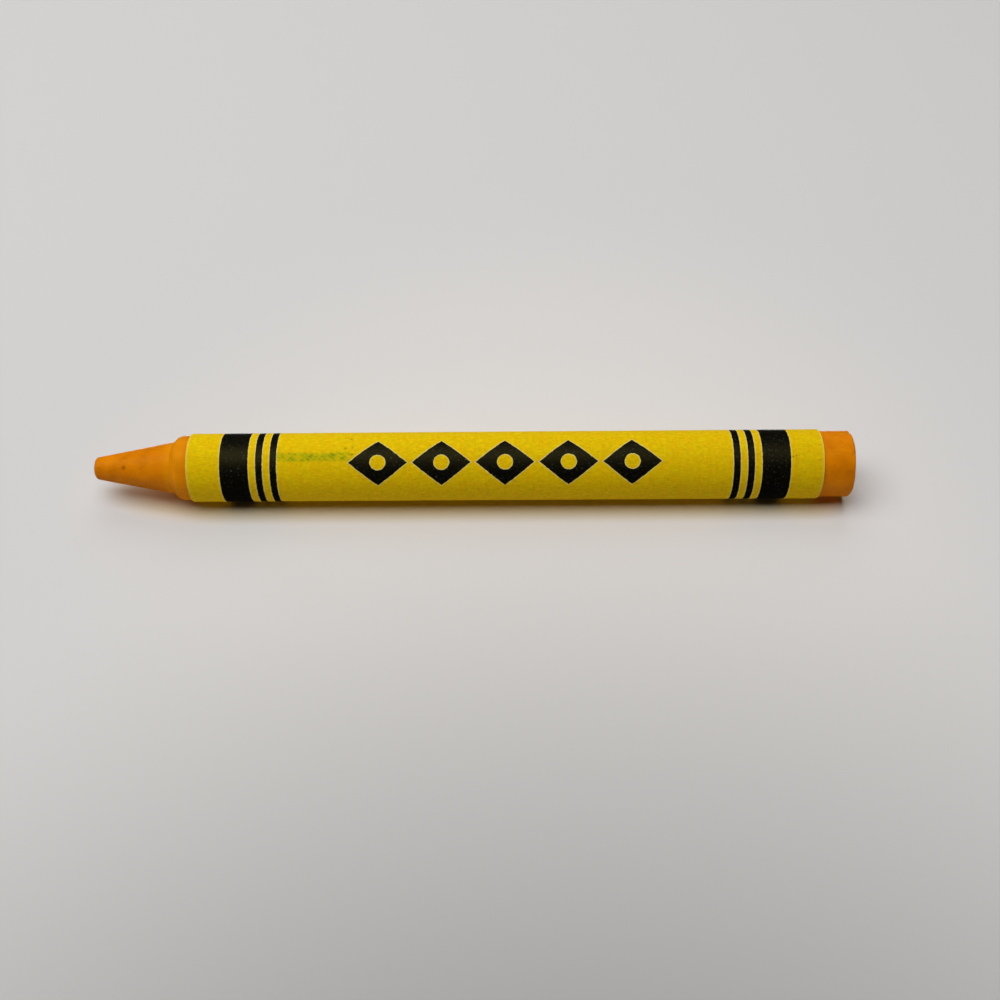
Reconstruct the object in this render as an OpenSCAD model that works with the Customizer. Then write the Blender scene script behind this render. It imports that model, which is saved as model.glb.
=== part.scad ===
// Wax crayon: a moulded wax stick inside a wound paper wrapper.
// It stands on its butt end. The axis is Z, the tip points up, and the origin
// is the centre of the butt face.

/* [Wax stick] */
// Length from the butt face to the blunt end of the tip
stick_length = 92; // [70:0.5:130]
// Diameter at the butt end
butt_d = 8.08; // [7.4:0.02:12]
// How much narrower the barrel is at the shoulder than at the butt, for the mould's draft
draft = 0.18; // [0:0.02:0.4]
// Radius of the rounded edge round the butt face
butt_edge_r = 0.25; // [0.1:0.05:1]

/* [Tip] */
// Length of the cone, from the blunt end to the shoulder
cone_length = 9.7; // [6:0.1:14]
// Diameter of the cone where it meets the shoulder
cone_base_d = 6.42; // [4.5:0.02:6.8]
// Diameter of the cone at the blunt end
tip_d = 2.66; // [1.6:0.02:4]
// Radius of the rounded edge round the blunt end
tip_edge_r = 0.45; // [0.1:0.05:0.7]
// Length of the bevelled shoulder between the cone and the barrel
shoulder_length = 0.7; // [0.1:0.1:3]
// Radius of the fillet in the corner between the cone and the shoulder
shoulder_fillet_r = 0.15; // [0.1:0.05:1]
// Radius of the rounded edge between the shoulder and the barrel
shoulder_edge_r = 1.1; // [0.2:0.05:1.6]

/* [Paper wrapper] */
// Barrel left bare between the wrapper and the shoulder
front_bare = 1.55; // [1:0.05:6]
// Barrel left bare between the wrapper and the butt face
butt_bare = 3.9; // [1:0.1:6]
// Thickness of the paper
paper_t = 0.1; // [0.06:0.01:0.2]
// Turns of paper in the wall
paper_turns = 2; // [1:1:4]
// Direction that the seam faces, round the axis from +X
seam_angle = 70; // [0:5:355]

/* [Print on the wrapper] */
// How deep the black ink sits in the paper
ink_depth = 0.04; // [0.02:0.01:0.05]
// Paper left plain between each end of the wrapper and its broad ring
plain_end = 4; // [1:0.1:8]
// Width of the broad ring at each end
broad_ring = 3.4; // [1:0.1:6]
// Width of a fine ring
fine_ring = 0.8; // [0.4:0.1:2]
// Fine rings beside each broad ring
fine_rings = 2; // [0:1:4]
// Plain paper between two rings
ring_gap = 0.9; // [0.4:0.1:3]
// Least plain paper between the rings and the row of lozenges
row_margin = 8; // [2:0.5:16]
// Length of a lozenge along the barrel
lozenge_length = 7; // [3:0.1:12]
// Width of a lozenge across the barrel
lozenge_width = 5.8; // [2:0.1:7]
// Plain paper between two lozenges
lozenge_gap = 0.6; // [0.2:0.1:3]
// Diameter of the plain dot in a lozenge
dot_d = 1.9; // [0.6:0.1:2.4]
// Angle round the axis from the seam to the middle of the lozenges
print_angle = 205; // [60:5:300]

/* [Hidden] */
$fn = 96;
arc_steps = 8;
butt_r = butt_d / 2;
front_r = butt_r - draft / 2;
barrel_length = stick_length - cone_length - shoulder_length;
wrap_r = butt_r + paper_turns * paper_t;
wrap_length = barrel_length - front_bare - butt_bare;
clear_r = 2 * wrap_r;
rings_width = broad_ring + fine_rings * (ring_gap + fine_ring);
row_length = wrap_length - 2 * (plain_end + rings_width + row_margin);
lozenge_pitch = lozenge_length + lozenge_gap;
lozenges = floor((row_length + lozenge_gap) / lozenge_pitch);

function unit(v) = v / norm(v);

function turned(v, angle) = [v.x * cos(angle) - v.y * sin(angle), v.x * sin(angle) + v.y * cos(angle)];

// The points of an arc of radius r that rounds the corner at p, between a and b. The arc is
// made smaller where it would take more than that share of the shorter side.
function corner_arc(a, p, b, r, share) =
    let (
        u = unit(a - p),
        v = unit(b - p),
        half = acos(u * v) / 2,
        radius = min(r, share * min(norm(a - p), norm(b - p)) * tan(half)),
        centre = p + unit(u + v) * radius / sin(half),
        start = unit(p + u * radius / tan(half) - centre),
        sweep = sign(cross(v, u)) * (180 - 2 * half)
    )
    [for (i = [0 : arc_steps]) centre + radius * turned(start, sweep * i / arc_steps)];

// Half of the stick's section: x is the radius and y the height.
module stick_section() {
    butt = [butt_r, 0];
    shoulder = [front_r, barrel_length];
    cone_base = [cone_base_d / 2, barrel_length + shoulder_length];
    tip = [tip_d / 2, stick_length];
    polygon(concat(
        [[0, 0]],
        corner_arc([0, 0], butt, shoulder, butt_edge_r, 0.5),
        corner_arc(butt, shoulder, cone_base, shoulder_edge_r, 0.75),
        corner_arc(shoulder, cone_base, tip, shoulder_fillet_r, 0.2),
        corner_arc(cone_base, tip, [0, stick_length], tip_edge_r, 0.75),
        [[0, stick_length]]
    ));
}

module wax_stick() {
    color("darkorange")
        rotate_extrude() stick_section();
}

// The drafted barrel that the paper is wound on.
module barrel() {
    cylinder(h = barrel_length, r1 = butt_r, r2 = front_r);
}

// The wound paper's outline, seen from the tip, with its seam at +X. The outer turn ends
// in a step one paper thick, and the turn under it climbs away from the step's foot by a
// flat ramp.
module wound_section() {
    difference() {
        circle(r = wrap_r);
        translate([wrap_r - paper_t, 0]) square(wrap_r);
    }
}

// The wound wall, with its lower end at z = 0 and the barrel's hole through it.
module wound_paper() {
    difference() {
        linear_extrude(height = wrap_length) wound_section();
        translate([0, 0, -butt_bare]) barrel();
    }
}

// The outer skin of the paper, as deep as the ink sits.
module ink_layer() {
    rotate_extrude()
        translate([wrap_r - ink_depth, 0]) square([clear_r - wrap_r, wrap_length]);
}

// The broad ring and its fine rings at the wrapper's lower end, as discs.
module rings() {
    translate([0, 0, plain_end]) cylinder(h = broad_ring, r = clear_r);
    for (i = [1 : 1 : fine_rings])
        translate([0, 0, plain_end + broad_ring + i * ring_gap + (i - 1) * fine_ring])
            cylinder(h = fine_ring, r = clear_r);
}

// A lozenge with its dot, drawn flat and carried outwards from the axis.
module lozenge() {
    half_w = lozenge_width / 2;
    half_l = lozenge_length / 2;
    rotate([90, 0, 90])
        linear_extrude(height = clear_r)
            difference() {
                polygon([[-half_w, 0], [0, -half_l], [half_w, 0], [0, half_l]]);
                circle(d = dot_d);
            }
}

// The row of lozenges along the middle of the wrapper.
module lozenge_row() {
    rotate(print_angle)
        for (i = [1 : 1 : lozenges])
            translate([0, 0, wrap_length / 2 + (i - (lozenges + 1) / 2) * lozenge_pitch])
                lozenge();
}

// Everything that is printed black.
module print() {
    intersection() {
        ink_layer();
        union() {
            rings();
            translate([0, 0, wrap_length]) mirror([0, 0, 1]) rings();
            lozenge_row();
        }
    }
}

module paper_wrapper() {
    translate([0, 0, butt_bare])
        rotate(seam_angle) {
            color("gold") difference() {
                wound_paper();
                print();
            }
            color("black") intersection() {
                wound_paper();
                print();
            }
        }
}

wax_stick();
paper_wrapper();
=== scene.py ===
# A round wax crayon: a moulded wax stick in a rolled paper label. It stands on its butt end,
# the axis is Z with the tip up, and the row of lozenges faces about -Y.
import math

import bmesh
import bpy
from mathutils import Matrix, Vector, noise


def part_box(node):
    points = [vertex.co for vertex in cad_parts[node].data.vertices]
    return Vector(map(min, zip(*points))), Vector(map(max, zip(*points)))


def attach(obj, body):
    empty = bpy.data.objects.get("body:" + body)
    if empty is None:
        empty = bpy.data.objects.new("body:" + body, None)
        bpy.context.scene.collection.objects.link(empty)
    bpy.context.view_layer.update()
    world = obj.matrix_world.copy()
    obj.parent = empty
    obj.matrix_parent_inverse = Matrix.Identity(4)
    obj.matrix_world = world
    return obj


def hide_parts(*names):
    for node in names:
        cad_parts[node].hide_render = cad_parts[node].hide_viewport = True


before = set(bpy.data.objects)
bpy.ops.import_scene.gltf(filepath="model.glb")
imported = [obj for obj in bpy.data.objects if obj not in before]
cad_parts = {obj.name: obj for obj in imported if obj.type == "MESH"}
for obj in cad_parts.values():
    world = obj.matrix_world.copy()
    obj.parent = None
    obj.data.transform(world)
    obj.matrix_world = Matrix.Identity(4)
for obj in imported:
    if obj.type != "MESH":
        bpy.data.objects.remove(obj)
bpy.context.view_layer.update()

# ---------------------------------------------------------------- Wax stick
# Pigmented wax, cast point down in a drafted metal mould and pushed out once it has set.
# It runs the whole length: the barrel goes on inside the paper, and both its ends are bare.
MM = 0.001
stick_low, stick_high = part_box("wax_stick")
BUTT_R = 4.04 * MM
FRONT_R = 3.95 * MM
CONE_BASE_R = 3.21 * MM
TIP_R = 1.33 * MM
CONE_LENGTH = 9.7 * MM
SHOULDER_LENGTH = 0.7 * MM
BUTT_EDGE_R = 0.25 * MM
SHOULDER_EDGE_R = 1.1 * MM
SHOULDER_FILLET_R = 0.15 * MM
TIP_EDGE_R = 0.45 * MM
cone_base_z = stick_high.z - CONE_LENGTH
shoulder_z = cone_base_z - SHOULDER_LENGTH

# The mesh is fine where the wax shows and coarse along the stretch that the paper covers.
STICK_STEPS = 240
EDGE_SEGMENTS = 8
BARE_STEP = 0.16 * MM
COVERED_STEP = 4 * MM
COVERED = (4.3 * MM, 79.2 * MM)
CLOSE = 0.01 * MM
WELD = 0.0001 * MM


def barrel_radius(height):
    """The radius of the drafted barrel at a height."""
    return BUTT_R + (FRONT_R - BUTT_R) * height / shoulder_z


def stick_mesh():
    """The stick turned from half of its section, with the mould's rounded edges."""
    shape = bmesh.new()
    corners = [
        (0, stick_low.z, 0),
        (BUTT_R, stick_low.z, BUTT_EDGE_R),
        (barrel_radius(COVERED[0]), COVERED[0], 0),
        (barrel_radius(COVERED[1]), COVERED[1], 0),
        (FRONT_R, shoulder_z, SHOULDER_EDGE_R),
        (CONE_BASE_R, cone_base_z, SHOULDER_FILLET_R),
        (TIP_R, stick_high.z, TIP_EDGE_R),
        (0, stick_high.z, 0),
    ]
    line = [shape.verts.new((radius, 0, height)) for radius, height, _ in corners]
    for lower, upper in zip(line, line[1:]):
        shape.edges.new((lower, upper))
    for corner, (_, _, rounding) in zip(line, corners):
        if rounding:
            first, second = [e.other_vert(corner).co - corner.co for e in corner.link_edges]
            bmesh.ops.bevel(
                shape,
                geom=[corner],
                offset=rounding / math.tan(first.angle(second) / 2),
                offset_type="OFFSET",
                segments=EDGE_SEGMENTS,
                profile=0.5,
                affect="VERTICES",
                material=-1,
            )
    for edge in shape.edges[:]:
        low, high = sorted(v.co.z for v in edge.verts)
        covered = low > COVERED[0] - CLOSE and high < COVERED[1] + CLOSE
        cuts = int(edge.calc_length() / (COVERED_STEP if covered else BARE_STEP))
        if cuts:
            bmesh.ops.subdivide_edges(shape, edges=[edge], cuts=cuts)
    bmesh.ops.spin(
        shape,
        geom=shape.verts[:] + shape.edges[:],
        cent=(0, 0, 0),
        axis=(0, 0, 1),
        angle=math.tau,
        steps=STICK_STEPS,
        use_merge=True,
    )
    bmesh.ops.remove_doubles(shape, verts=shape.verts, dist=WELD)
    bmesh.ops.recalc_face_normals(shape, faces=shape.faces)
    return shape


# The skin lies a little inside the mould: it has hollows where the wax shrank as it cooled,
# and the mould's fine grain.
HOLLOW_DEPTH = 0.022 * MM
HOLLOW_SCALE = 420
PIT_DEPTH = 0.006 * MM
PIT_SCALE = 1700

# Nicks from the box and the desk: the direction round the axis in degrees, then the height,
# size and depth in mm.
NICKS = [
    (296, 91.9, 0.42, 0.07),
    (238, 91.85, 0.3, 0.05),
    (20, 91.8, 0.5, 0.09),
    (130, 91.9, 0.36, 0.06),
    (254, 81.95, 0.35, 0.04),
    (315, 82.0, 0.45, 0.05),
    (95, 81.9, 0.5, 0.06),
    (230, 0.15, 0.5, 0.06),
    (285, 0.1, 0.35, 0.05),
    (340, 0.2, 0.6, 0.08),
    (60, 0.1, 0.5, 0.07),
    (165, 0.15, 0.4, 0.05),
    (262, 0.1, 3.0, 0.07),
]


def stick_radius(height):
    """About how far the stick's skin is from the axis at a height."""
    if height <= shoulder_z:
        return barrel_radius(height)
    if height <= cone_base_z:
        return FRONT_R + (CONE_BASE_R - FRONT_R) * (height - shoulder_z) / SHOULDER_LENGTH
    return CONE_BASE_R + (TIP_R - CONE_BASE_R) * (height - cone_base_z) / CONE_LENGTH


def ripple(place):
    """Soft noise at a place, from 0 to 1."""
    return 0.5 + 0.5 * noise.noise(place)


def wear_stick(shape):
    """Sinks the skin a little: cooling hollows, the mould's grain, and nicks on the rims."""
    shape.normal_update()
    nicks = []
    for degrees, height, size, depth in NICKS:
        turn = math.radians(degrees)
        radius = stick_radius(height * MM)
        centre = Vector((radius * math.cos(turn), radius * math.sin(turn), height * MM))
        nicks.append((centre, size * MM, depth * MM))
    moves = []
    for vert in shape.verts:
        hollow = ripple(vert.co * HOLLOW_SCALE)
        pits = ripple(vert.co * PIT_SCALE + Vector((3, 5, 7)))
        sink = HOLLOW_DEPTH * hollow + PIT_DEPTH * pits
        for centre, size, depth in nicks:
            near = (vert.co - centre).length / size
            if near < 1:
                sink += depth * (1 - near * near) ** 2
        moves.append((vert, vert.normal * sink))
    for vert, move in moves:
        vert.co -= move


def start_finish(name):
    """A new material, with its node tree and its surface shader."""
    finish = bpy.data.materials.new(name)
    finish.use_nodes = True
    return finish, finish.node_tree, finish.node_tree.nodes["Principled BSDF"]


def put(tree, kind, inputs, **options):
    """Adds a node. Inputs are numbers, colours or other nodes' outputs, by socket."""
    made = tree.nodes.new(kind)
    for option, value in options.items():
        setattr(made, option, value)
    for socket, value in inputs.items():
        if isinstance(value, bpy.types.NodeSocket):
            tree.links.new(value, made.inputs[socket])
        else:
            made.inputs[socket].default_value = value
    return made


def sums(tree, operation, *values):
    """One step of arithmetic."""
    return put(tree, "ShaderNodeMath", dict(enumerate(values)), operation=operation).outputs[0]


def vector_sums(tree, operation, *vectors):
    """One number worked out from vectors."""
    step = put(tree, "ShaderNodeVectorMath", dict(enumerate(vectors)), operation=operation)
    return step.outputs["Value"]


def spread(tree, value, low, high, new_low=0.0, new_high=1.0, smooth=False):
    """Stretches low..high of a value to new_low..new_high, and holds it at the ends."""
    inputs = {0: value, 1: low, 2: high, 3: new_low, 4: new_high}
    kind = "SMOOTHSTEP" if smooth else "LINEAR"
    return put(tree, "ShaderNodeMapRange", inputs, interpolation_type=kind).outputs[0]


def grain(tree, where, scale, detail=2.0, roughness=0.5, stretch=(1, 1, 1), turn=0.0):
    """Soft random grain from 0 to 1, in grains per metre, drawn out by stretch and turned."""
    inputs = {0: where, 2: (0, 0, turn), 3: stretch}
    place = put(tree, "ShaderNodeMapping", inputs, vector_type="TEXTURE").outputs[0]
    inputs = {"Vector": place, "Scale": scale, "Detail": detail, "Roughness": roughness}
    speckle = put(tree, "ShaderNodeTexNoise", inputs).outputs[0]
    return spread(tree, speckle, 0.3, 0.7)


def tint(tree, share, first, second, blend="MIX"):
    """Mixes two colours."""
    inputs = {0: share, 6: first, 7: second}
    return put(tree, "ShaderNodeMix", inputs, data_type="RGBA", blend_type=blend).outputs[2]


def set_sockets(surface, values):
    """Sets what is the same all over a surface, on the shader's own sockets."""
    for socket, value in values.items():
        surface.inputs[socket].default_value = value


def emboss(tree, surface, relief, strength, depth):
    """Gives a surface a fine relief."""
    inputs = {"Height": relief, "Strength": strength, "Distance": depth}
    bump = put(tree, "ShaderNodeBump", inputs)
    tree.links.new(bump.outputs[0], surface.inputs["Normal"])


DEEP_ORANGE = (0.555, 0.159, 0.001, 1)
LIGHT_ORANGE = (0.730, 0.226, 0.001, 1)
SPECKLE_ORANGE = (0.43, 0.098, 0.001, 1)
SCUFF_ORANGE = (0.72, 0.31, 0.01, 1)
# The shoulder's colour is partly the wax's own paler tone and partly a painted highlight on its bevel.
SHOULDER_HIGHLIGHT_ORANGE = (0.80, 0.33, 0.002, 1)
SPOT_BROWN = (0.20, 0.030, 0.001, 1)
SHEEN_ORANGE = (1.0, 0.58, 0.02, 1)
HIGHLIGHT_MIDDLE = shoulder_z + 0.1 * MM
HIGHLIGHT_REACH = (0.9 * MM, 1.7 * MM)
SPOT = Vector((0, -1.95 * MM, 88.05 * MM))
SPOT_REACH = (0.14 * MM, 0.46 * MM)
SPOT_RAGGED = 0.12 * MM
BUTT_REACH = (0.05 * MM, 0.2 * MM)
WAX_RELIEF = 0.006 * MM


def wax_colour(tree, where, height, clouds, speckle, scuffs):
    """Cloudy orange with pale scuffs, a paler shoulder that is partly a painted highlight, and a dark
    spot on the cone.
    """
    colour = tint(tree, clouds, DEEP_ORANGE, LIGHT_ORANGE)
    colour = tint(tree, sums(tree, "MULTIPLY", speckle, 0.30), colour, SPECKLE_ORANGE)
    colour = tint(tree, spread(tree, scuffs, 0.72, 1.0, 0.0, 0.20), colour, SCUFF_ORANGE)
    # Paler at the shoulder: part paler wax, part painted highlight on the bevel.
    from_shoulder = sums(tree, "ABSOLUTE", sums(tree, "SUBTRACT", height, HIGHLIGHT_MIDDLE))
    painted_highlight = spread(tree, from_shoulder, *HIGHLIGHT_REACH, 0.3, 0.0, smooth=True)
    colour = tint(tree, painted_highlight, colour, SHOULDER_HIGHLIGHT_ORANGE)
    ragged = sums(tree, "MULTIPLY", speckle, SPOT_RAGGED)
    from_spot = sums(tree, "ADD", vector_sums(tree, "DISTANCE", where, SPOT), ragged)
    spot = spread(tree, from_spot, *SPOT_REACH, 0.75, 0.0, smooth=True)
    return tint(tree, spot, colour, SPOT_BROWN)


def wax_finish():
    """Orange wax with a soft sheen and fine scuffs along the stick, and a matt butt face."""
    finish, tree, surface = start_finish("orange_wax")
    where = put(tree, "ShaderNodeTexCoord", {}).outputs["Object"]
    height = put(tree, "ShaderNodeSeparateXYZ", {0: where}).outputs["Z"]
    clouds = grain(tree, where, 500, 3.0, 0.55)
    speckle = grain(tree, where, 3200, 3.0, 0.6)
    scuffs = grain(tree, where, 1500, 4.0, 0.6, (1, 1, 6))
    colour = wax_colour(tree, where, height, clouds, speckle, scuffs)
    tree.links.new(colour, surface.inputs["Base Color"])
    dullness = sums(tree, "ADD", sums(tree, "MULTIPLY", clouds, 0.08), 0.30)
    dullness = sums(tree, "ADD", dullness, sums(tree, "MULTIPLY", scuffs, 0.10))
    dull_butt = spread(tree, height, *BUTT_REACH, 0.35, 0.0)
    dullness = sums(tree, "ADD", dullness, dull_butt)
    tree.links.new(dullness, surface.inputs["Roughness"])
    relief = sums(tree, "ADD", sums(tree, "MULTIPLY", speckle, 0.5), scuffs)
    emboss(tree, surface, relief, 0.35, WAX_RELIEF)
    set_sockets(surface, {
        "IOR": 1.28,
        "Specular IOR Level": 0.45,
        "Specular Tint": SHEEN_ORANGE,
        "Subsurface Weight": 0.12,
        "Subsurface Radius": (1.0, 0.3, 0.02),
        "Subsurface Scale": 0.4 * MM,
    })
    return finish


SHARP = math.radians(40)


def finished_piece(name, shape, finishes):
    """Turns a bmesh into an object, smooth except at its sharp edges."""
    for face in shape.faces:
        face.smooth = True
    mesh = bpy.data.meshes.new(name)
    shape.to_mesh(mesh)
    shape.free()
    mesh.set_sharp_from_angle(angle=SHARP)
    for finish in finishes:
        mesh.materials.append(finish)
    piece = bpy.data.objects.new(name, mesh)
    bpy.context.scene.collection.objects.link(piece)
    return piece


stick_shape = stick_mesh()
wear_stick(stick_shape)
stick = finished_piece("moulded_wax_stick", stick_shape, [wax_finish()])
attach(stick, "root")
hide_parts("wax_stick")

# ---------------------------------------------------------------- Paper wrapper
# A label of yellow paper, printed flat in black and cut to a rectangle. It is rolled round
# the barrel just under twice and pasted down. The outer end of the roll is the seam.
label_low, label_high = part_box("paper_wrapper")
LABEL_LENGTH = label_high.z - label_low.z
ROLL_R = label_high.x
PAPER_T = 0.1 * MM
AIR = 0.003 * MM
SEAM = math.radians(70)
LABEL_COLUMNS = 290
LABEL_ROWS = 100
# The second turn climbs over the start of the first by a flat ramp, through this angle.
LAP = math.acos((ROLL_R - PAPER_T) / ROLL_R)

# The roll isn't a true cylinder: it follows the barrel's draft, its ends lean, it climbs as
# it is wound, and the sheet is slack, creased and a little ragged where it was cut.
FOLLOW_DRAFT = 0.062 * MM
FRONT_SKEW = 0.045 * MM
BACK_SKEW = -0.04 * MM
CLIMB = 0.05 * MM
SLACK = 0.010 * MM
SLACK_SCALE = 0.35
CREASE = 0.005 * MM
CREASE_SCALE = 1.3
RAGGED_CUT = 0.012 * MM
RAGGED_SCALE = 12


def label_mesh():
    """The flat sheet with its thickness, then rolled."""
    shape = bmesh.new()
    bmesh.ops.create_grid(shape, x_segments=LABEL_COLUMNS, y_segments=LABEL_ROWS, size=0.5)
    bmesh.ops.translate(shape, verts=shape.verts, vec=(0.5, 0.5, 0))
    width = (2 * math.tau - LAP) * ROLL_R
    bmesh.ops.scale(shape, verts=shape.verts, vec=(width, LABEL_LENGTH, 1))
    bmesh.ops.translate(shape, verts=shape.verts, vec=((LAP - math.tau) * ROLL_R, 0, 0))
    bmesh.ops.solidify(shape, geom=shape.faces[:], thickness=PAPER_T - AIR)
    bmesh.ops.recalc_face_normals(shape, faces=shape.faces)
    sheet = shape.loops.layers.uv.new("printed_sheet")
    for face in shape.faces:
        face.material_index = 0 if face.normal.z > 0.5 else 1
        for loop in face.loops:
            loop[sheet].uv = loop.vert.co.xy
    for vert in shape.verts:
        vert.co = rolled(vert.co)
    return shape


def rolled(flat):
    """Where a point of the flat sheet goes when the label is rolled on the barrel."""
    turn = flat.x / ROLL_R
    if turn < 0:
        radius = ROLL_R - PAPER_T
    elif turn < LAP:
        radius = (ROLL_R - PAPER_T) / math.cos(turn)
    else:
        radius = ROLL_R
    along = flat.y / LABEL_LENGTH
    angle = SEAM + turn
    around = Vector((math.cos(angle), math.sin(angle), 0))
    # The noise is read in mm, on a cylinder about as wide as the roll.
    place = around * 4 + Vector((0, 0, flat.y / MM))
    slack = SLACK * ripple(place * SLACK_SCALE)
    crease = CREASE * ripple(place * CREASE_SCALE + Vector((9, 2, 4)))
    radius += flat.z - FOLLOW_DRAFT * along - slack - crease
    skew = FRONT_SKEW * along + BACK_SKEW * (1 - along)
    height = label_low.z + flat.y + skew * math.cos(angle) - CLIMB * (turn / math.tau - 0.5)
    if flat.y < CLOSE or flat.y > LABEL_LENGTH - CLOSE:
        height += RAGGED_CUT * noise.noise(Vector((turn * RAGGED_SCALE, flat.y * 100, 1)))
    return Vector((radius * around.x, radius * around.y, height))


LEMON = (0.725, 0.525, 0.001, 1)
WARM_YELLOW = (0.765, 0.448, 0.001, 1)
MOTTLE_YELLOW = (0.440, 0.290, 0.001, 1)
THREAD_YELLOW = (0.90, 0.66, 0.004, 1)
FLECK_BROWN = (0.40, 0.225, 0.001, 1)
BUTT_END_TINT = (0.94, 0.93, 1.0, 1)
BUTT_END_REACH = 58 * MM


def stock_colour(tree, sheet, along, mottle, fibres):
    """Yellow stock: lemon and warm clouds, fibres and flecks, darker towards the butt."""
    colour = tint(tree, grain(tree, sheet, 700, 4.0, 0.6), WARM_YELLOW, LEMON)
    colour = tint(tree, spread(tree, mottle, 0.0, 1.0, 0.50, 0.0), colour, MOTTLE_YELLOW)
    colour = tint(tree, spread(tree, fibres, 0.5, 1.0, 0.0, 0.45), colour, THREAD_YELLOW)
    flecks = grain(tree, sheet, 2100, 2.0, 0.5, (1, 2, 1))
    colour = tint(tree, spread(tree, flecks, 0.82, 1.0, 0.0, 0.3), colour, FLECK_BROWN)
    butt_end = spread(tree, along, 0.0, BUTT_END_REACH, 1.0, 0.0)
    return tint(tree, butt_end, colour, BUTT_END_TINT, "MULTIPLY")


# A smear of green crayon between the rings and the lozenges, in strokes that cross.
SMEAR_GREEN = (0.33, 0.36, 0.003, 1)
STROKE_GREEN = (0.13, 0.14, 0.002, 1)
SMEAR_TURN = math.radians(215)
SMEAR_HALF_WIDTH = (0.3 * MM, 0.75 * MM)
SMEAR_START = (55.6 * MM, 57.6 * MM)
SMEAR_STOP = (65.1 * MM, 65.5 * MM)
STROKE_SCALE = 3600
STROKE_TURNS = (math.radians(42), math.radians(-38))


def smeared(tree, sheet, across, along, colour):
    """Lays the green smear over the paper."""
    strokes = [grain(tree, sheet, STROKE_SCALE, 2.0, 0.5, (1, 4, 1), turn) for turn in STROKE_TURNS]
    aside = sums(tree, "ABSOLUTE", sums(tree, "SUBTRACT", across, SMEAR_TURN * ROLL_R))
    beside = spread(tree, aside, *SMEAR_HALF_WIDTH, 1.0, 0.0, smooth=True)
    started = spread(tree, along, *SMEAR_START, 0.0, 1.0, smooth=True)
    stopped = spread(tree, along, *SMEAR_STOP, 1.0, 0.0, smooth=True)
    smear = sums(tree, "MULTIPLY", beside, sums(tree, "MULTIPLY", started, stopped))
    single = spread(tree, sums(tree, "MAXIMUM", *strokes), 0.35, 0.75, 0.25, 0.85)
    colour = tint(tree, sums(tree, "MULTIPLY", smear, single), colour, SMEAR_GREEN)
    crossed = spread(tree, sums(tree, "MULTIPLY", *strokes), 0.25, 0.7, 0.0, 0.6)
    return tint(tree, sums(tree, "MULTIPLY", smear, crossed), colour, STROKE_GREEN)


# Specks of dirt, and a crease near the butt drawn as painted shade: the turn from the seam in
# degrees, the place along the label and the size in mm, and the strength.
DIRT_AND_CREASE_SHADE_BROWN = (0.13, 0.07, 0.003, 1)
MARKS = [
    (289, 55.9, 0.34, 0.75),
    (292, 56.4, 0.22, 0.6),
    (283, 55.2, 0.2, 0.5),
    (250, 56.5, 0.3, 0.45),
    (252, 57.2, 0.16, 0.5),
    (230, 57.1, 0.35, 0.4),
    (231, 56.3, 0.26, 0.35),
    (219, 56.3, 0.3, 0.7),
    (214.5, 64.3, 0.17, 0.5),
    (214.5, 64.6, 0.17, 0.55),
    (214.2, 64.9, 0.17, 0.5),
    (214.4, 65.2, 0.17, 0.4),
    # The last three marks are the crease's painted shade.
    (211, 3.75, 0.26, 0.65),
    (212, 3.4, 0.2, 0.5),
    (212, 3.0, 0.18, 0.35),
]


def marked(tree, sheet, mottle, colour):
    """Lays the specks of dirt and the crease's painted shade over the paper."""
    for degrees, length, size, strength in MARKS:
        middle = Vector((math.radians(degrees) * ROLL_R, length * MM, 0))
        ragged = sums(tree, "MULTIPLY", mottle, 0.5 * size * MM)
        away = sums(tree, "ADD", vector_sums(tree, "DISTANCE", sheet, middle), ragged)
        mark = spread(tree, away, 0.3 * size * MM, size * MM, strength, 0.0, smooth=True)
        colour = tint(tree, mark, colour, DIRT_AND_CREASE_SHADE_BROWN)
    return colour


RUBBED_PAPER = (0.68, 0.60, 0.14, 1)
RUBBED_REACH = (0.05 * MM, 0.32 * MM)
RUBBED_RAGGED = 0.1 * MM


def rubbed(tree, from_end, mottle, colour):
    """Pales the paper along its two cut ends."""
    from_end = sums(tree, "ADD", from_end, sums(tree, "MULTIPLY", mottle, RUBBED_RAGGED))
    pale = spread(tree, from_end, *RUBBED_REACH, 0.45, 0.0)
    return tint(tree, pale, colour, RUBBED_PAPER)


# The print: at each end a broad ring with fine rings beside it, and a row of lozenges, each
# with a plain dot. A hairline of paper beside the ink is pale.
PLAIN_END = 4.0 * MM
BROAD_RING = 3.4 * MM
FINE_RING = 0.8 * MM
FINE_RINGS = 2
RING_GAP = 0.9 * MM
LOZENGES = 5
LOZENGE_LENGTH = 7.0 * MM
LOZENGE_WIDTH = 5.8 * MM
LOZENGE_PITCH = 7.6 * MM
DOT_R = 0.95 * MM
ROW_TURN = math.radians(205)
BLACK_INK = (0.0005, 0.0005, 0.0005, 1)
GREY_INK = (0.004, 0.004, 0.003, 1)
WORN_INK = (0.075, 0.075, 0.068, 1)
HAIRLINE_PAPER = (0.68, 0.60, 0.24, 1)
HAIRLINE_REACH = (0.05 * MM, 0.15 * MM)
INK_SOFT = 0.02 * MM
INK_RAGGED = 0.07 * MM


def nearest(tree, *values):
    """The smallest of several values."""
    smallest = values[0]
    for value in values[1:]:
        smallest = sums(tree, "MINIMUM", smallest, value)
    return smallest


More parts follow.
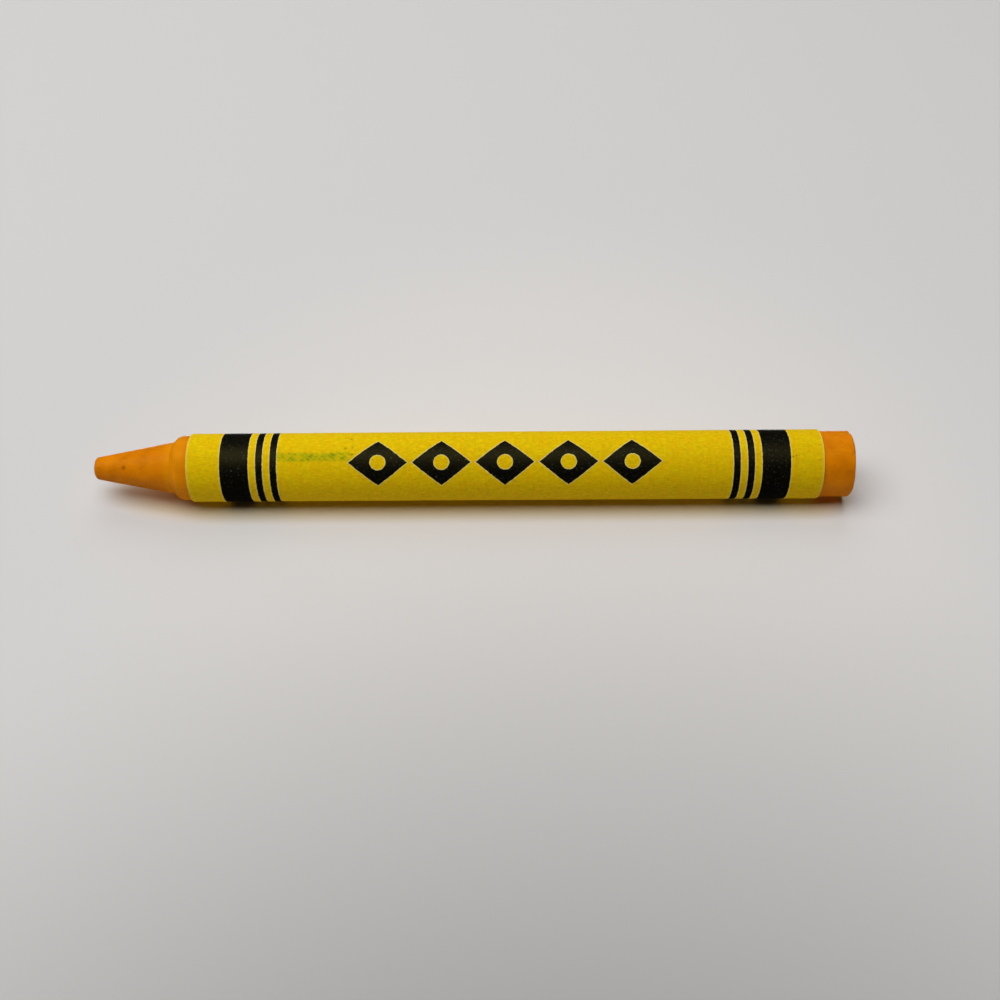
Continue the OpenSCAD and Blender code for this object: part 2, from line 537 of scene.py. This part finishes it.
def rings_edge(tree, from_end):
    """How far outside the rings a point of the sheet is, and below 0 inside one."""
    rings = [(PLAIN_END + BROAD_RING / 2, BROAD_RING)]
    first_fine = PLAIN_END + BROAD_RING + RING_GAP + FINE_RING / 2
    for count in range(FINE_RINGS):
        rings.append((first_fine + count * (RING_GAP + FINE_RING), FINE_RING))
    edges = []
    for middle, width in rings:
        away = sums(tree, "ABSOLUTE", sums(tree, "SUBTRACT", from_end, middle))
        edges.append(sums(tree, "SUBTRACT", away, width / 2))
    return nearest(tree, *edges)


def flat_distance(tree, across, along):
    """How far a point with these two measures is from where both are 0."""
    point = put(tree, "ShaderNodeCombineXYZ", {0: across, 1: along}).outputs[0]
    return vector_sums(tree, "LENGTH", point)


def lozenges_edge(tree, across, along):
    """How far outside the lozenges a point of the sheet is, and below 0 inside one."""
    from_middle = sums(tree, "SUBTRACT", along, LABEL_LENGTH / 2)
    which = sums(tree, "ROUND", sums(tree, "DIVIDE", from_middle, LOZENGE_PITCH))
    which = sums(tree, "MINIMUM", which, LOZENGES // 2)
    which = sums(tree, "MAXIMUM", which, -(LOZENGES // 2))
    up = sums(tree, "SUBTRACT", from_middle, sums(tree, "MULTIPLY", which, LOZENGE_PITCH))
    side = sums(tree, "SUBTRACT", across, ROW_TURN * ROLL_R)
    half_length, half_width = LOZENGE_LENGTH / 2, LOZENGE_WIDTH / 2
    slant_up = sums(tree, "DIVIDE", sums(tree, "ABSOLUTE", up), half_length)
    slant_side = sums(tree, "DIVIDE", sums(tree, "ABSOLUTE", side), half_width)
    slant = sums(tree, "SUBTRACT", sums(tree, "ADD", slant_up, slant_side), 1.0)
    to_distance = half_length * half_width / math.hypot(half_length, half_width)
    lozenge = sums(tree, "MULTIPLY", slant, to_distance)
    dot = sums(tree, "SUBTRACT", DOT_R, flat_distance(tree, side, up))
    return sums(tree, "MAXIMUM", lozenge, dot)


def printed(tree, sheet, edge, ink, mottle, colour):
    """Lays the black ink over the paper, worn in pinholes, and its pale hairline beside it."""
    hairline = spread(tree, edge, *HAIRLINE_REACH, 0.55, 0.0)
    colour = tint(tree, hairline, colour, HAIRLINE_PAPER)
    pinholes = grain(tree, sheet, 3400, 2.0, 0.6)
    worn = spread(tree, pinholes, 0.78, 1.0, 0.0, 0.45)
    ink_colour = tint(tree, mottle, BLACK_INK, GREY_INK)
    ink_colour = tint(tree, worn, ink_colour, WORN_INK)
    return tint(tree, ink, colour, ink_colour)


PAPER_SPECULAR = (1.0, 0.85, 0.25, 1)
PAPER_SHEEN = (1.0, 0.92, 0.4, 1)
PAPER_RELIEF = 0.010 * MM


def paper_finish():
    """Printed yellow paper: matt, with a fine tooth, and a little glossier where it is inked."""
    finish, tree, surface = start_finish("printed_paper")
    sheet = put(tree, "ShaderNodeUVMap", {}, uv_map="printed_sheet").outputs[0]
    axes = put(tree, "ShaderNodeSeparateXYZ", {0: sheet}).outputs
    across, along = axes[0], axes[1]
    from_end = nearest(tree, along, sums(tree, "SUBTRACT", LABEL_LENGTH, along))
    mottle = grain(tree, sheet, 2300, 3.0, 0.6)
    fibres = grain(tree, sheet, 5200, 3.0, 0.6, (1, 6, 1))
    colour = stock_colour(tree, sheet, along, mottle, fibres)
    colour = smeared(tree, sheet, across, along, colour)
    colour = marked(tree, sheet, mottle, colour)
    colour = rubbed(tree, from_end, mottle, colour)
    edge = nearest(tree, rings_edge(tree, from_end), lozenges_edge(tree, across, along))
    bleed = sums(tree, "MULTIPLY", sums(tree, "SUBTRACT", mottle, 0.5), INK_RAGGED)
    ink = spread(tree, sums(tree, "ADD", edge, bleed), -INK_SOFT, INK_SOFT, 1.0, 0.0)
    colour = printed(tree, sheet, edge, ink, mottle, colour)
    tree.links.new(colour, surface.inputs["Base Color"])
    dullness = sums(tree, "SUBTRACT", 0.80, sums(tree, "MULTIPLY", ink, 0.32))
    tree.links.new(dullness, surface.inputs["Roughness"])
    relief = sums(tree, "ADD", sums(tree, "MULTIPLY", mottle, 0.6), fibres)
    emboss(tree, surface, relief, 0.6, PAPER_RELIEF)
    set_sockets(surface, {
        "Specular IOR Level": 0.10,
        "Specular Tint": PAPER_SPECULAR,
        "Sheen Weight": 0.05,
        "Sheen Roughness": 0.35,
        "Sheen Tint": PAPER_SHEEN,
    })
    return finish


CUT_YELLOW = (0.56, 0.37, 0.02, 1)
CUT_PALE = (0.68, 0.52, 0.08, 1)


def cut_paper_finish():
    """The unprinted back and the cut edges of the same paper."""
    finish, tree, surface = start_finish("cut_paper")
    where = put(tree, "ShaderNodeTexCoord", {}).outputs["Object"]
    fluff = grain(tree, where, 6000, 3.0, 0.6)
    tree.links.new(tint(tree, fluff, CUT_YELLOW, CUT_PALE), surface.inputs["Base Color"])
    set_sockets(surface, {"Roughness": 0.9, "Specular IOR Level": 0.2})
    return finish


wrapper = finished_piece("rolled_paper_label", label_mesh(), [paper_finish(), cut_paper_finish()])
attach(wrapper, "root")
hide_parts("paper_wrapper")

# ---------------------------------------------------------------- Backdrop
# A matt pale board that stands against the label, as a table lies under a crayon that has
# been put down. It shows from the front only, casts no shadow and isn't seen in reflections.
LOOK_DOWN = math.radians(46)
board_out = Vector((math.cos(LOOK_DOWN), -math.sin(LOOK_DOWN), 0))
board_up = Vector((math.sin(LOOK_DOWN), math.cos(LOOK_DOWN), 0))
BOARD_HALF = 0.9
BOARD_GAP = 0.002 * MM

# The board's colour holds painted light: a painted shadow, grey in a wide arch down its front,
# with white above it; painted shade that dulls the white far from the crayon; and a painted warm bounce
# of the crayon's colour beside it.
BOARD_WHITE = (0.630, 0.606, 0.588, 1)
PAINTED_SHADOW_GREY = (0.362, 0.358, 0.350, 1)
PAINTED_SHADE_GREY = (0.565, 0.558, 0.550, 1)
PAINTED_BOUNCE_WARM = (0.64, 0.53, 0.33, 1)
SHADOW_DOWN = 95 * MM
SHADOW_HEIGHT = 37.3 * MM
SHADOW_SQUASH = 0.75
SHADOW_REACH = (30 * MM, 88 * MM)
SHADE_MIDDLE = Vector((0, 0, stick_high.z * 0.36))
SHADE_REACH = (15 * MM, 75 * MM)
BOUNCE_HEIGHTS = (4 * MM, 76 * MM)
BOUNCE_TAPER = 0.35
BOUNCE_REACH = (3.0 * MM, 6.1 * MM)


def board_colour(tree, where):
    """Off-white with a painted shadow arch, painted shade far from the crayon and painted warm bounce
    beside it.
    """
    up_board = vector_sums(tree, "DOT_PRODUCT", where, board_up)
    height = put(tree, "ShaderNodeSeparateXYZ", {0: where}).outputs["Z"]
    # Painted shadow: grey in a wide arch down the board's front.
    above_shadow = sums(tree, "MAXIMUM", sums(tree, "ADD", up_board, SHADOW_DOWN), 0.0)
    beside_shadow = sums(tree, "MULTIPLY", sums(tree, "SUBTRACT", height, SHADOW_HEIGHT), SHADOW_SQUASH)
    unshadowed = spread(tree, flat_distance(tree, above_shadow, beside_shadow), *SHADOW_REACH)
    colour = tint(tree, unshadowed, PAINTED_SHADOW_GREY, BOARD_WHITE)
    # Painted shade: the white turns duller far from the crayon.
    outwards = vector_sums(tree, "DISTANCE", where, SHADE_MIDDLE)
    painted_shade = spread(tree, outwards, *SHADE_REACH, 0.0, 0.85, smooth=True)
    painted_shade = sums(tree, "MULTIPLY", painted_shade, sums(tree, "MULTIPLY", unshadowed, unshadowed))
    colour = tint(tree, painted_shade, colour, PAINTED_SHADE_GREY)
    # Painted bounce light: a warm cast of the crayon's colour beside it.
    past_butt = sums(tree, "SUBTRACT", BOUNCE_HEIGHTS[0], height)
    past_tip = sums(tree, "MULTIPLY", sums(tree, "SUBTRACT", height, BOUNCE_HEIGHTS[1]), BOUNCE_TAPER)
    past_ends = sums(tree, "MAXIMUM", sums(tree, "MAXIMUM", past_tip, past_butt), 0.0)
    from_crayon = flat_distance(tree, up_board, past_ends)
    painted_bounce = spread(tree, from_crayon, *BOUNCE_REACH, 0.9, 0.0, smooth=True)
    return tint(tree, painted_bounce, colour, PAINTED_BOUNCE_WARM)


def board_finish():
    """Matt from the front and clear from behind."""
    finish, tree, surface = start_finish("pale_board")
    where = put(tree, "ShaderNodeTexCoord", {}).outputs["Object"]
    tree.links.new(board_colour(tree, where), surface.inputs["Base Color"])
    set_sockets(surface, {"Roughness": 0.9, "Specular IOR Level": 0.0})
    behind = put(tree, "ShaderNodeNewGeometry", {}).outputs["Backfacing"]
    clear = put(tree, "ShaderNodeBsdfTransparent", {}).outputs[0]
    mixed = put(tree, "ShaderNodeMixShader", {0: behind, 1: surface.outputs[0], 2: clear})
    tree.links.new(mixed.outputs[0], tree.nodes["Material Output"].inputs["Surface"])
    return finish


board_shape = bmesh.new()
bmesh.ops.create_grid(board_shape, x_segments=1, y_segments=1, size=BOARD_HALF)
board_turn = Matrix((board_up, Vector((0, 0, 1)), board_out)).transposed().to_4x4()
board_turn.translation = -board_out * (label_high.x + BOARD_GAP) + Vector((0, 0, stick_high.z / 2))
bmesh.ops.transform(board_shape, matrix=board_turn, verts=board_shape.verts)
board = finished_piece("pale_board", board_shape, [board_finish()])
board.visible_shadow = False
board.visible_glossy = False

# ---------------------------------------------------------------- Light and camera
# A large soft lamp hangs over the board. Weak lamps light the crayon's upper and lower
# edges along the board, and one behind the board lights its back. The camera looks
# along +Y, with the tip to the left.
LAMP_DISTANCE = 0.8


def soft_lamp(name, towards, size, power, colour=(1, 1, 1)):
    """A rectangular lamp that faces the middle of the crayon, in metres and watts."""
    middle = Vector((0, 0, stick_high.z / 2))
    lamp_data = bpy.data.lights.new(name, "AREA")
    lamp_data.shape = "RECTANGLE"
    lamp_data.size, lamp_data.size_y = size
    lamp_data.energy = power
    lamp_data.color = colour
    lamp = bpy.data.objects.new(name, lamp_data)
    lamp.location = middle + towards.normalized() * LAMP_DISTANCE
    lamp.rotation_euler = towards.to_track_quat("Z", "Y").to_euler()
    bpy.context.scene.collection.objects.link(lamp)
    return lamp


def round_from_camera(degrees):
    """A level direction, turned from -Y towards +X."""
    turn = math.radians(degrees)
    return Vector((math.sin(turn), -math.cos(turn), 0))


soft_lamp("key_lamp", round_from_camera(40) + Vector((0, 0, 0.27)), (0.6, 1.0), 8.0)
side_lamp = soft_lamp("side_lamp", round_from_camera(90), (0.6, 0.6), 1.9)
soft_lamp("back_lamp", round_from_camera(169), (0.25, 0.8), 2.6)
low_lamp = soft_lamp("low_lamp", round_from_camera(-92), (0.5, 0.5), 0.62, (1.0, 0.84, 0.7))
side_lamp.visible_glossy = False
low_lamp.visible_glossy = False

# The room shows as plain pale grey and gives hardly any light.
ROOM_COLOUR = (0.97, 0.98, 1.0, 1)
ROOM_LIGHT = 0.01
ROOM_SEEN = 0.62
room = bpy.data.worlds.new("studio")
room.use_nodes = True
room_tree = room.node_tree
room_light = room_tree.nodes["Background"]
room_light.inputs["Color"].default_value = ROOM_COLOUR
seen = put(room_tree, "ShaderNodeLightPath", {}).outputs["Is Camera Ray"]
room_tree.links.new(spread(room_tree, seen, 0, 1, ROOM_LIGHT, ROOM_SEEN), room_light.inputs["Strength"])
bpy.context.scene.world = room

ROLL = math.radians(0.375)
lens = bpy.data.cameras.new("camera")
lens.lens = 42.58
lens.sensor_width = 36
lens.clip_start = 0.005
camera = bpy.data.objects.new("camera", lens)
to_right = Vector((-math.sin(ROLL), 0, -math.cos(ROLL)))
to_top = Vector((math.cos(ROLL), 0, -math.sin(ROLL)))
backwards = Vector((0, -1, 0))
camera.matrix_world = Matrix((to_right, to_top, backwards)).transposed().to_4x4()
camera.location = (-4.19 * MM, -145 * MM, 42.6 * MM)
bpy.context.scene.collection.objects.link(camera)
bpy.context.scene.camera = camera
bpy.context.scene.view_settings.view_transform = "Standard"
